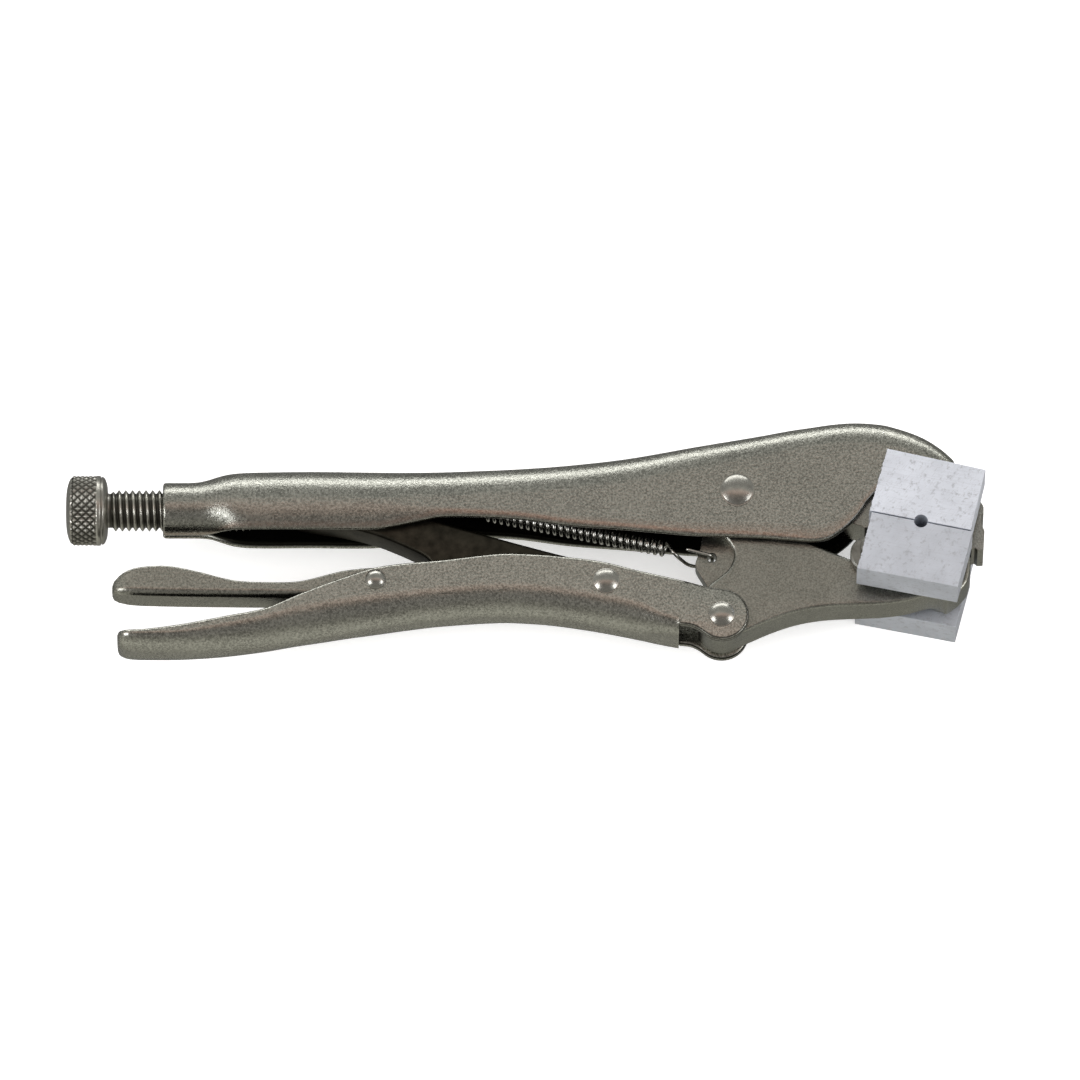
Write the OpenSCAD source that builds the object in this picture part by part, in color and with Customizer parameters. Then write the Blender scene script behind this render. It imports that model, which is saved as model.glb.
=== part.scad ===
// Locking pliers with bolted-on jaw blocks, lying flat, locked shut.
// Drawing space: x along the tool from the knob's end face, y across it with the adjusting
// screw's axis at 0, z from the mid-plane. placed() moves the drawing to the part's own frame.

/* [Adjusting screw] */
// Diameter of the knurled knob
knob_d = 19; // [17:0.1:19.4]
// Length of the knob with its plain shoulder
knob_len = 11.2; // [9:0.1:13]
// Length of the knurled band
knurl_len = 9.2; // [6:0.1:9.4]
// Number of knurl grooves in each direction
knurl_grooves = 22; // [12:1:26]
// Major diameter of the thread
thread_d = 11.1; // [10.4:0.1:11.1]
// Pitch of the thread
thread_pitch = 1.814; // [1.5:0.001:2.2]
// Radial gap between the thread and the handle's nose tube
thread_gap = 0.05; // [0.02:0.01:0.1]
// Position of the screw's plain point along the tool
screw_tip_x = 56.6; // [52:0.1:56.8]

/* [Upper handle] */
// Thickness of the pressed sheet
sheet_t = 2.5; // [2:0.1:2.7]
// Outside diameter of the nose tube that holds the screw
tube_d = 15; // [14.4:0.1:15.6]
// Start of the nose tube
tube_x = 26.2; // [24:0.1:28]
// Half of the width over the two side walls
wall_half_w = 9; // [8.8:0.1:9.3]

/* [Pivots] */
// Head diameter of the jaw pivot rivet
jaw_head_d = 9.4; // [8.5:0.1:10]
// Head diameter of the rivet between the jaw and the lower handle
lever_head_d = 7.3; // [6.5:0.1:8]
// Head diameter of the rivet between the lower handle and the link
link_head_d = 7.4; // [6.5:0.1:8]
// Head diameter of the release lever's rivet
release_head_d = 5.8; // [5:0.1:6.4]
// Height of the domed heads
head_h = 1.5; // [1:0.1:1.8]
// Radial gap of every pivot
pivot_gap = 0.05; // [0.02:0.01:0.1]

/* [Jaws] */
// Thickness of the steel jaws
jaw_t = 12; // [11:0.1:12.4]
// Diameter of the spring hole in the lower jaw
spring_hole_d = 2.5; // [2.2:0.1:3]

/* [Jaw blocks] */
// Thickness of each aluminium block
block_t = 12.5; // [10:0.5:14]
// Distance from the mid-plane to each block's inner face
block_in_z = 9.75; // [9.5:0.05:10.5]
// Diameter of the hole that the closed blocks grip
grip_d = 3.6; // [2:0.1:5]
// Gap between the upper and lower blocks when shut
parting_gap = 0.3; // [0.2:0.05:0.6]
// Diameter of the dowels that carry the blocks
dowel_d = 5; // [4:0.1:5.2]
// Depth of each dowel in its block
dowel_depth = 7; // [4:0.5:9]

/* [Spring] */
// Outside diameter of the coil
coil_d = 5; // [4:0.1:5.4]
// Wire diameter
wire_d = 1; // [0.8:0.1:1.1]
// Number of turns
coil_turns = 27; // [20:1:32]

/* [Hidden] */
$fn = 64;

// Frame: the middle of the tool's length and width, resting on the far blocks' faces.
tool_len = 248;
top_y = 23.8;
bottom_y = -41.63;
half_stack = block_in_z + block_t;

// Pivot centres in the drawing
jaw_pivot = [181.2, 2.7];
lever_pivot = [177, -32.8];
link_pivot = [145.8, -23.3];
link_end = [64.5, 0];
release_pivot = [83.7, -22.9];

// Hole of the lower jaw that the spring hooks into
spring_hole_at = [174.4, -14.3];

// Half widths of what nests inside the handles
inner_half_w = wall_half_w - sheet_t;
link_half_w = 5.2;
release_t = 1.6;

// Rivet shafts
jaw_shaft_r = 3.2;
lever_shaft_r = 2.5;
link_shaft_r = 2.5;
release_shaft_r = 1.9;

// Parting line of the blocks, falling towards the tip
parting_left = [216.6, -8];
parting_right = [248, -14.46];
parting_slope = (parting_right[1] - parting_left[1]) / (parting_right[0] - parting_left[0]);
function parting_point(x, up) = [x, parting_left[1] + parting_slope * (x - parting_left[0]) + up];
grip_at = parting_point(230.5, -parting_gap / 2);

// Dowel centres
upper_dowel_at = [[225, -3], [240, -6]];
lower_dowel_at = [[216.8, -15.7], [236.6, -20.6]];
upper_spacer_r = 4.6;
lower_spacer_r = 5.2;
fit = 0.02;

// Cross-sections of the upper handle: x, top y, lip y, half width, the top corner's radius
// across and down, lip curl angle, lip radius
upper_sections = [
    [36.5, 7.7, -7.2, 7.5, 7.3, 7.4, 72, 7.3], [41, 8.95, -7.8, 8.6, 8.0, 8.2, 62, 8.4],
    [45, 9.78, -8.1, 9.75, 9.0, 9.5, 42, 12], [50, 10.14, -8.28, 10, 9.3, 10.3, 30, 15.7],
    [66, 10.37, -8.28, 10, 9.3, 10.3, 30, 15.7], [84, 10.16, -8.28, 10, 9.3, 10.3, 30, 15.7],
    [90, 10.12, -7.3, 9.7, 9, 10, 30, 13], [96, 10.19, -6, 9.3, 8.6, 9.6, 30, 9],
    [102, 10.32, -4.9, 9, 8.3, 9.4, 30, 6], [114, 10.7, -5.1, 9, 8, 9.2, 30, 4.5],
    [123, 11.1, -5.7, 9, 7.8, 9.2, 30, 4.5], [135.5, 12.01, -7.4, 9, 7.6, 9, 28, 4.5],
    [151.5, 13.86, -8.7, 9, 7.3, 8.8, 26, 4.5], [170, 17.08, -10.3, 9, 6.6, 8.2, 25, 4.5],
    [187, 19.91, -10.95, 9, 6, 7.6, 25, 4.5], [196, 21.65, -11.6, 9, 6, 7.5, 24, 4.4],
    [201.4, 22.48, -11.9, 9, 6, 7.5, 18, 4], [206, 23.22, -11, 9, 6, 7.5, 13, 3.6],
    [211, 23.76, -7.4, 9, 6, 7.5, 12, 3.5], [214, 23.8, -4, 9, 6, 7.5, 12, 3.5],
    [217.2, 23.62, 0.7, 9, 6, 7.5, 12, 3.5], [222, 22.91, 4.4, 9, 6, 7.4, 12, 3.5],
    [230.6, 19.76, 6.4, 9, 5.6, 6.8, 12, 3.5], [236, 16.13, 6.6, 9, 5, 5.8, 12, 3.5],
    [240, 12.3, 5.6, 8.9, 4.4, 4.8, 12, 3.5]];

// Cross-sections of the lower handle: x, web y, wall top y, half width, the corner's radius
// across and up
lower_sections = [
    [14.1, -39.6, -36.9, 5.4, 3.4, 1.9], [14.6, -40.2, -36.9, 6.8, 4.6, 2.5],
    [15.8, -40.88, -36.9, 8.1, 6, 3.2], [18, -41.26, -37, 8.9, 7, 3.5],
    [22, -41.53, -36.8, 9, 7.5, 3.8], [30, -41.63, -35.75, 9, 7.8, 4.2],
    [36.2, -41.5, -34.6, 9, 8, 5], [44, -40.98, -33, 9, 8.3, 6],
    [53.7, -39.78, -31, 9, 8.5, 7], [62, -38.37, -27.4, 9, 8.6, 8],
    [68.6, -37.32, -24.6, 9, 8.4, 8.3], [75, -36.14, -22.2, 9, 8, 8.2],
    [83.4, -34.82, -19.4, 9, 7.6, 8], [92, -33.48, -18.1, 9, 7.4, 7.6],
    [101, -32.31, -17.3, 9, 7.3, 7.4], [117, -31.21, -15.4, 9, 7.2, 7.4],
    [125, -31.45, -15.5, 9, 7.2, 7.4], [133, -32.2, -16.1, 9, 7.2, 7.4],
    [144, -33.95, -17.5, 9, 7.2, 7.3], [155, -36.13, -20.3, 9, 7, 7],
    [160, -36.7, -21.5, 9, 5, 5], [165.4, -37.47, -22.8, 9, 4, 4]];

// Cross-sections of the release lever, with the same columns
release_sections = [
    [12.6, -24.4, -22.4, 2.6, 1, 1], [13.4, -25, -21.2, 4, 1.4, 1.4],
    [15.9, -25.5, -19.4, 5.2, 1.8, 1.8], [19, -25.8, -18.3, 5.7, 2, 2],
    [25, -26, -17.7, 5.75, 2, 2], [29.4, -26.1, -18, 5.75, 2, 2],
    [36.2, -26.2, -19.5, 5.75, 2, 2], [45.6, -26.3, -21.9, 5.75, 2, 2],
    [55, -26.4, -22.4, 5.75, 2, 2], [62.6, -26.5, -22.2, 5.75, 2, 2],
    [68, -26.8, -21, 5.75, 2, 2], [74.8, -27.3, -19.2, 5.75, 2, 2],
    [83.7, -27.9, -18.3, 5.75, 2, 2], [91, -27.4, -18.8, 5.75, 2, 2],
    [95.5, -25.8, -20, 5.75, 2, 2]];

// ---- Helpers ----------------------------------------------------------------

// Moves the drawing into the part's frame.
module placed() {
    translate([-tool_len / 2, -(top_y + bottom_y) / 2, half_stack]) children();
}

// An outline in the drawing, made solid between two heights.
module slab(z0, z1) {
    translate([0, 0, z0]) linear_extrude(z1 - z0) children();
}

// A pin or bore along z through a drawing point.
module across(at, r, half_len) {
    translate([at[0], at[1], -half_len]) cylinder(r = r, h = 2 * half_len);
}

// A rivet with two domed heads on the handle's walls.
module rivet(at, shaft_r, head_d, half_len) {
    cap_r = (pow(head_d / 2, 2) + pow(head_h, 2)) / (2 * head_h);
    across(at, shaft_r, half_len);
    for (side = [0, 1])
        translate([at[0], at[1], 0]) mirror([0, 0, side])
            translate([0, 0, half_len]) intersection() {
                translate([0, 0, head_h - cap_r]) sphere(r = cap_r);
                cylinder(d = head_d, h = head_h);
            }
}

// Smooth value of column k of a section table at x.
function span_at(t, x, i = 0) = i >= len(t) - 2 || x < t[i + 1][0] ? i : span_at(t, x, i + 1);
function rise(t, k, i, j) = (t[j][k] - t[i][k]) / (t[j][0] - t[i][0]);
function tangent(t, k, i) = rise(t, k, max(i - 1, 0), min(i + 1, len(t) - 1));
function smooth(t, k, x) =
    let (i = span_at(t, x), h = t[i + 1][0] - t[i][0], u = (x - t[i][0]) / h)
    (2 * pow(u, 3) - 3 * pow(u, 2) + 1) * t[i][k]
    + (pow(u, 3) - 2 * pow(u, 2) + u) * h * tangent(t, k, i)
    + (3 * pow(u, 2) - 2 * pow(u, 3)) * t[i + 1][k]
    + (pow(u, 3) - pow(u, 2)) * h * tangent(t, k, i + 1);

// Stations of a table with the long spans halved.
function stations(t, longest) = [
    for (i = [0 : len(t) - 2], n = ceil((t[i + 1][0] - t[i][0]) / longest), j = [0 : n - 1])
        t[i][0] + (t[i + 1][0] - t[i][0]) * j / n,
    t[len(t) - 1][0]];

// Half outline of a channel, open downwards, as [z, y] from the lip to the crown. The top
// corner has a radius across and a radius down; the lip curls inwards around its own radius.
// d is the distance inwards from the outer skin.
function half_channel(top, lip, w, across, down, curl, lip_r, d) =
    let (lip_y = lip + lip_r * sin(curl))
    concat(
        curl == 0 ? [[w - d, lip]] : [for (i = [0 : 3]) let (a = -curl * (1 - i / 3))
            [w - lip_r + (lip_r - d) * cos(a), lip_y + (lip_r - d) * sin(a)]],
        [for (i = [0 : 6]) let (a = 15 * i)
            [w - across + (across - d) * cos(a), top - down + (down - d) * sin(a)]]);
function mirrored(half) = [for (i = [len(half) - 1 : -1 : 0]) [-half[i][0], half[i][1]]];
function channel_ring(x, top, lip, w, across, down, curl, lip_r, t) =
    let (outer = half_channel(top, lip, w, across, down, curl, lip_r, 0),
         inner = half_channel(top, lip, w, across, down, curl, lip_r, t))
    [for (p = concat(outer, mirrored(outer), inner, mirrored(inner))) [x, p[1], p[0]]];

// A bent sheet: rings of an outer and an inner row of n points, closed at lips and ends.
module sheet_loft(rings) {
    m = len(rings[0]);
    n = m / 2;
    last = len(rings) - 1;
    quads = concat(
        [for (j = [0 : last - 1], k = [0 : n - 2])
            [j * m + k, j * m + k + 1, (j + 1) * m + k + 1, (j + 1) * m + k]],
        [for (j = [0 : last - 1], k = [0 : n - 2])
            [j * m + n + k + 1, j * m + n + k, (j + 1) * m + n + k, (j + 1) * m + n + k + 1]],
        [for (j = [0 : last - 1])
            [j * m + n, j * m, (j + 1) * m, (j + 1) * m + n]],
        [for (j = [0 : last - 1])
            [j * m + n - 1, j * m + m - 1, (j + 1) * m + m - 1, (j + 1) * m + n - 1]],
        [for (k = [0 : n - 2]) [k, n + k, n + k + 1, k + 1]],
        [for (k = [0 : n - 2])
            [last * m + n + k, last * m + k, last * m + k + 1, last * m + n + k + 1]]);
    polyhedron([for (ring = rings) each ring],
        [for (q = quads) each [[q[0], q[1], q[2]], [q[0], q[2], q[3]]]]);
}

// A channel open upwards from a table of x, web y, wall top y, half width and corner radii.
module open_channel(table, t, longest) {
    mirror([0, 1, 0]) sheet_loft([for (x = stations(table, longest))
        let (down = smooth(table, 5, x))
        channel_ring(x, -smooth(table, 1, x), -smooth(table, 2, x), smooth(table, 3, x),
            smooth(table, 4, x), down, 0, down, min(t, down - 0.2))]);
}

// A tube swept along a path of points.
function unit(v) = v / norm(v);
function heading(path, i) = unit(path[min(i + 1, len(path) - 1)] - path[max(i - 1, 0)]);
module swept_wire(path, r, sides) {
    rings = [for (i = [0 : len(path) - 1])
        let (t = heading(path, i), a = unit(cross(t, [0.13, 0.31, 0.94])), b = cross(t, a))
        [for (k = [0 : sides - 1]) let (q = 360 * k / sides)
            path[i] + r * (cos(q) * a + sin(q) * b)]];
    last = len(rings) - 1;
    polyhedron([for (ring = rings) each ring], concat(
        [[for (k = [sides - 1 : -1 : 0]) k]],
        [[for (k = [0 : sides - 1]) last * sides + k]],
        [for (i = [0 : last - 1], k = [0 : sides - 1], h = [0, 1])
            let (a = i * sides + k, b = i * sides + (k + 1) % sides)
            h == 0 ? [a, b, b + sides] : [a, b + sides, a + sides]]));
}

// Outline of the lower jaw without its holes
module lower_jaw_outline() {
    translate(jaw_pivot) circle(r = 8.5);
    translate(lever_pivot) circle(r = 6.3);
    polygon([[172.8, 4], [172.2, -6], [171.2, -12], [169.6, -16.7], [172.8, -22.3], [171, -31],
        [177, -38.8], [182.6, -36.6], [185.5, -35.6], [189, -33.8], [196, -31.2],
        [203, -29.8], [209.5, -29.3], [220, -29], [227, -28], [232, -26.4], [234.6, -26.1],
        [236.3, -27.2], [237.7, -28], [241.3, -25.2], [243.3, -22.6], [244.1, -19],
        parting_point(244.2, -1.7), parting_point(243.4, -1), parting_point(216.6, -1),
        [214.4, -10.4], [213.2, -12.8], [212.6, -15.4], [211.8, -16], [207, -14],
        [202.2, -11.8], [196, -8.8], [191.2, -4.8], [189.6, 1]]);
}

// Outline of the fixed upper jaw
module upper_jaw_outline() {
    tooth = 1.6;
    tooth_h = 0.5;
    edge = [for (i = [0 : 19]) let (x = 246 - tooth * i)
        each [parting_point(x, 0.4), parting_point(x - tooth / 2, 0.4 + tooth_h)]];
    polygon(concat([[247.6, -13.6]], edge, [[211, -5.6], [206, -3.4], [200.5, 1.5], [198.5, 8],
        [199.5, 14], [204, 16.6], [209, 17.6], [218, 17.2], [226, 14.8], [232, 12],
        [237.6, 8.6], [240.2, 7.4], [243.6, 4], [246.4, 1.2], [247.7, -1], [247.7, -3],
        [247.1, -3.6], [247.1, -6], [247.9, -8]]));
}

// Outlines of the jaw blocks
module upper_block_outline() {
    polygon([parting_left, parting_point(243.9, 0), [248, 3.7], [221.4, 9.8]]);
}
module lower_block_outline() {
    polygon([parting_point(217.2, -parting_gap), parting_point(244.4, -parting_gap),
        [240.3, -29.9], [213.2, -24.5]]);
}

// One block at the near (side 1) or far (side -1) face, with its dowel holes and half bore
module block(side, dowels) {
    placed() mirror([0, 0, side > 0 ? 0 : 1]) difference() {
        slab(block_in_z, half_stack) children();
        across(grip_at, grip_d / 2, half_stack + 1);
        for (at = dowels) across(at, dowel_d / 2 + fit, block_in_z + dowel_depth + 0.5);
    }
}

// Spacer tubes between a jaw's sides and the blocks
module spacers(dowels, r, from_z) {
    placed() for (at = dowels, side = [0, 1]) mirror([0, 0, side]) difference() {
        translate([at[0], at[1], from_z]) cylinder(r = r, h = block_in_z - from_z);
        across(at, dowel_d / 2 + fit, half_stack);
    }
}

module dowels(at_list) {
    placed() for (at = at_list) across(at, dowel_d / 2, block_in_z + dowel_depth);
}

// ---- Sub-parts --------------------------------------------------------------

module upper_handle() {
    bore_r = thread_d / 2 + thread_gap;
    tube_end = 42;
    anchor = [110, 3];
    color([0.55, 0.55, 0.5]) placed() difference() {
        union() {
            sheet_loft([for (x = stations(upper_sections, 8))
                let (v = [for (k = [1 : 7]) smooth(upper_sections, k, x)])
                channel_ring(x, v[0], v[1], v[2], v[3], v[4], v[5], v[6], sheet_t)]);
            translate([tube_x, 0, 0]) rotate([0, 90, 0]) cylinder(d = tube_d, h = tube_end - tube_x);
            // Lanced tab that holds the spring
            translate([anchor[0] - 2.2, anchor[1] - 1.9, -0.9]) cube([4.4, 7, 1.8]);
        }
        translate([tube_x - 1, 0, 0]) rotate([0, 90, 0])
            cylinder(r = bore_r, h = tube_end - tube_x + 2);
        across(anchor, 1.3, 2);
        across(jaw_pivot, jaw_shaft_r + fit, half_stack);
    }
}

module upper_jaw() {
    color([0.5, 0.5, 0.46]) placed() difference() {
        slab(-inner_half_w + fit, inner_half_w - fit) upper_jaw_outline();
        across(grip_at, grip_d / 2 + 0.4, half_stack);
        for (at = upper_dowel_at) across(at, dowel_d / 2 + fit, half_stack);
    }
}

module jaw_pivot_rivet() {
    color([0.66, 0.65, 0.6]) placed()
        rivet(jaw_pivot, jaw_shaft_r, jaw_head_d, wall_half_w);
}

module upper_block_near() {
    color([0.82, 0.82, 0.86]) block(1, upper_dowel_at) upper_block_outline();
}

module upper_block_far() {
    color([0.82, 0.82, 0.86]) block(-1, upper_dowel_at) upper_block_outline();
}

module upper_spacers() {
    color([0.45, 0.45, 0.43]) spacers(upper_dowel_at, upper_spacer_r, inner_half_w);
}

module upper_dowels() {
    color([0.6, 0.6, 0.58]) dowels(upper_dowel_at);
}

module tension_spring() {
    coil_start = [113.5, -0.5];
    coil_end = [162, -10.8];
    mid_r = (coil_d - wire_d) / 2;
    along = unit([coil_end[0] - coil_start[0], coil_end[1] - coil_start[1], 0]);
    side = [-along[1], along[0], 0];
    steps = 10;
    length = norm(coil_end - coil_start);
    coil = [for (i = [0 : coil_turns * steps]) let (a = 360 * i / steps)
        [coil_start[0], coil_start[1], 0] + along * length * i / (coil_turns * steps)
            + mid_r * (cos(a) * side + [0, 0, sin(a)])];
    front = [[110.4, 3.6, 2.3], [110.1, 3, 1], [110.1, 2.8, -0.8], [110.6, 2.2, -2],
        [111.8, 1.5, -2], [113, 1.5, -1.4]];
    back = [[164.2, -12.6, 1.3], [166.4, -13.9, -1.2], [168.4, -14.6, -3], [171.4, -14.8, -3.7],
        [173.6, -14.5, -3.2], [spring_hole_at[0], spring_hole_at[1], -1.6],
        [spring_hole_at[0], spring_hole_at[1], 1.6], [173.8, -14, 3.3], [171.2, -13.4, 3.8],
        [167.4, -12.3, 3.7]];
    color([0.7, 0.7, 0.68]) placed() swept_wire(concat(front, coil, back), wire_d / 2, 6);
}

module lower_jaw() {
    tab_half_t = 2.4;
    recess = [[160, -6], [176.5, -8.5], [178.5, -10.3], [180.2, -13], [180.4, -15.4],
        [179, -18.9], [173.9, -23.7], [160, -27]];
    color([0.52, 0.52, 0.48]) placed() difference() {
        slab(-jaw_t / 2, jaw_t / 2) lower_jaw_outline();
        for (side = [0, 1]) mirror([0, 0, side]) slab(tab_half_t, jaw_t) polygon(recess);
        across(spring_hole_at, spring_hole_d / 2, jaw_t);
        across(grip_at, grip_d / 2 + 0.4, jaw_t);
        across(jaw_pivot, jaw_shaft_r + pivot_gap, jaw_t);
        across(lever_pivot, lever_shaft_r + pivot_gap, jaw_t);
        for (at = lower_dowel_at) across(at, dowel_d / 2 + fit, jaw_t);
    }
}

module lower_block_near() {
    color([0.82, 0.82, 0.86]) block(1, lower_dowel_at) lower_block_outline();
}

module lower_block_far() {
    color([0.82, 0.82, 0.86]) block(-1, lower_dowel_at) lower_block_outline();
}

module lower_spacers() {
    color([0.45, 0.45, 0.43]) spacers(lower_dowel_at, lower_spacer_r, jaw_t / 2);
}

module lower_dowels() {
    color([0.6, 0.6, 0.58]) dowels(lower_dowel_at);
}

module lower_handle() {
    ear = [[160, -21.7], [165.4, -23], [172.8, -24.8], [177, -25.7], [184, -32.8], [177, -39.9],
        [172.6, -38.6], [170.6, -37], [168.6, -36.1], [165.9, -35.8], [165.9, -33.2],
        [164.6, -32.4], [160, -31.2]];
    color([0.56, 0.55, 0.51]) placed() difference() {
        union() {
            open_channel(lower_sections, sheet_t, 8);
            for (side = [0, 1]) mirror([0, 0, side]) slab(inner_half_w, wall_half_w) {
                polygon(ear);
                translate(lever_pivot) circle(r = 7.2);
            }
        }
        across(lever_pivot, lever_shaft_r + fit, half_stack);
        across(link_pivot, link_shaft_r + fit, half_stack);
        across(release_pivot, release_shaft_r + fit, half_stack);
    }
}

module jaw_lever_rivet() {
    color([0.66, 0.65, 0.6]) placed()
        rivet(lever_pivot, lever_shaft_r, lever_head_d, wall_half_w);
}

module link_rivet() {
    color([0.66, 0.65, 0.6]) placed()
        rivet(link_pivot, link_shaft_r, link_head_d, wall_half_w);
}

module release_rivet() {
    color([0.66, 0.65, 0.6]) placed()
        rivet(release_pivot, release_shaft_r, release_head_d, wall_half_w);
}

module toggle_link() {
    nose_r = 4.6;
    wall = 2;
    lower_edge = [[64.5, -4.6], [76, -6.6], [83.4, -8.5], [89.6, -11.1], [93.4, -12.9],
        [96.1, -14.2], [97.7, -15.5], [98.8, -16.8], [99.8, -18.6], [101.5, -20.6],
        [108, -22.8], [120, -24.4], [134, -26.6], [144, -29]];
    upper_edge = [[147, -17.2], [138, -15.6], [120, -10.6], [100, -4.6], [86, 0.4], [74, 3.8],
        [64.5, 4.6]];
    // Channel between the two side walls, open upwards and at the rivet's end
    pocket = [[70, 8], [70, -1.4], [84, -4.8], [98, -11.5], [104, -17.6], [112, -21],
        [134, -24.2], [156, -29], [160, -10], [120, -2]];
    color([0.45, 0.42, 0.38]) placed() difference() {
        slab(-link_half_w, link_half_w) {
            translate(link_end) circle(r = nose_r);
            translate(link_pivot) circle(r = 6.2);
            polygon(concat(lower_edge, upper_edge));
        }
        slab(wall - link_half_w, link_half_w - wall) polygon(pocket);
        across(link_pivot, link_shaft_r + pivot_gap, half_stack);
    }
}

module release_lever() {
    color([0.58, 0.57, 0.54]) placed() difference() {
        open_channel(release_sections, release_t, 8);
        across(release_pivot, release_shaft_r + pivot_gap, half_stack);
    }
}

// Plain end of the adjusting screw, which only slides
module screw_point() {
    color([0.6, 0.6, 0.6]) placed() translate([screw_tip_x, 0, 0]) rotate([0, -90, 0])
        rotate_extrude() polygon([[0, 0], [3, 0], [4.4, 1.4], [4.4, 6], [0, 6]]);
}

module adjusting_screw() {
    thread_r = thread_d / 2;
    groove = 0.9;
    rear = screw_tip_x - 6.1;
    knurl_depth = 0.6;
    turns = floor((rear - 1.5 - knob_len - 1.2) / thread_pitch);
    thread = [for (i = [0 : turns - 1]) let (x = knob_len + 1.2 + i * thread_pitch)
        each [[thread_r, x + 0.28 * thread_pitch], [thread_r, x + 0.4 * thread_pitch],
            [thread_r - groove, x + 0.9 * thread_pitch], [thread_r - groove, x + thread_pitch]]];
    color([0.68, 0.68, 0.68]) placed() difference() {
        rotate([0, 90, 0]) rotate_extrude() polygon(concat(
            [[0, 0], [6, 0], [6.6, 0.5], [7.8, 0.5], [knob_d / 2 - 0.3, 0.9], [knob_d / 2, 1.3],
             [knob_d / 2, knurl_len], [knob_d / 2 - 0.5, knurl_len + 0.5],
             [7.2, knob_len], [thread_r - groove, knob_len]],
            thread, [[thread_r - groove - 0.3, rear], [0, rear]]));
        for (i = [0 : knurl_grooves - 1], lean = [-1, 1])
            rotate([360 * i / knurl_grooves, 0, 0]) translate([1.3 + knurl_len / 2, 0, knob_d / 2])
                rotate([0, 0, 30 * lean]) rotate([45, 0, 0])
                    cube([knurl_len * 1.2, knurl_depth, knurl_depth], center = true);
    }
}

upper_handle();
upper_jaw();
jaw_pivot_rivet();
upper_block_near();
upper_block_far();
upper_spacers();
upper_dowels();
tension_spring();
lower_jaw();
lower_block_near();
lower_block_far();
lower_spacers();
lower_dowels();
lower_handle();
jaw_lever_rivet();
link_rivet();
release_rivet();
toggle_link();
release_lever();
screw_point();
adjusting_screw();
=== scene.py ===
"""Looks of the locking pliers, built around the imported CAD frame.

Shapes are drawn in millimetres in the CAD's drawing space: x along the tool from the
knob's end face, y across it with the adjusting screw's axis at 0, z from the mid-plane.
"""

import math

import bmesh
import bpy
import numpy as np
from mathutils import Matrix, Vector
from mathutils.geometry import tessellate_polygon


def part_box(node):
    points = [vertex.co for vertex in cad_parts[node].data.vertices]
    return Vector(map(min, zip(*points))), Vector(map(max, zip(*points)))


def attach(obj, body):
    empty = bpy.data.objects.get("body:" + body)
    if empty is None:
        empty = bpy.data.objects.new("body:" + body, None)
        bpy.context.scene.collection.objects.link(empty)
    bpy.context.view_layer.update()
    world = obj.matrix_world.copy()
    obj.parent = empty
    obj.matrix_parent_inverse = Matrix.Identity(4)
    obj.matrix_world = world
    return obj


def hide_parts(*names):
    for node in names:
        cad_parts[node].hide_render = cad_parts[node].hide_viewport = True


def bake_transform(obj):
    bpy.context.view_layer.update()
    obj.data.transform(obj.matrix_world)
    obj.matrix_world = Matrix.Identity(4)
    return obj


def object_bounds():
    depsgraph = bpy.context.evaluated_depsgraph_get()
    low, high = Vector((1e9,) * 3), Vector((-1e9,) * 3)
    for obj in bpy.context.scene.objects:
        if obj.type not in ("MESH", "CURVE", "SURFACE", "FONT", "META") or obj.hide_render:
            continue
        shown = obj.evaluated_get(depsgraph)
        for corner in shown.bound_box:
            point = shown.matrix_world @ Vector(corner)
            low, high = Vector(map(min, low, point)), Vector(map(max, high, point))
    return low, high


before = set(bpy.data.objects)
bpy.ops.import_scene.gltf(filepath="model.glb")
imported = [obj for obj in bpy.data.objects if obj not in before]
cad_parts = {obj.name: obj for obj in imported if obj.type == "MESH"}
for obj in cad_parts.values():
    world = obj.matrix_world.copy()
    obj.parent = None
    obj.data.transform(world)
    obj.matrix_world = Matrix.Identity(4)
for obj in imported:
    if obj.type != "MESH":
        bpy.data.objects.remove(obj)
cad_lo, cad_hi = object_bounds()

MM = 0.001

# Pivot centres in the drawing
JAW_PIVOT = (181.2, 2.7)
LEVER_PIVOT = (177.0, -32.8)
LINK_PIVOT = (145.8, -23.3)
LINK_END = (64.5, 0.0)
RELEASE_PIVOT = (83.7, -22.9)

# The jaw pivot's rivet is centred on its pivot and on the mid-plane
_lo, _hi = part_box("jaw_pivot_rivet")
ORIGIN = np.array([(_lo.x + _hi.x) / 2 - JAW_PIVOT[0] * MM,
                   (_lo.y + _hi.y) / 2 - JAW_PIVOT[1] * MM,
                   (_lo.z + _hi.z) / 2])

SHEET_T = 2.5
WALL_W = 9.0
LINK_W = 5.2
JAW_T = 12.0
BLOCK_IN = 9.75
BLOCK_OUT = 22.25

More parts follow.
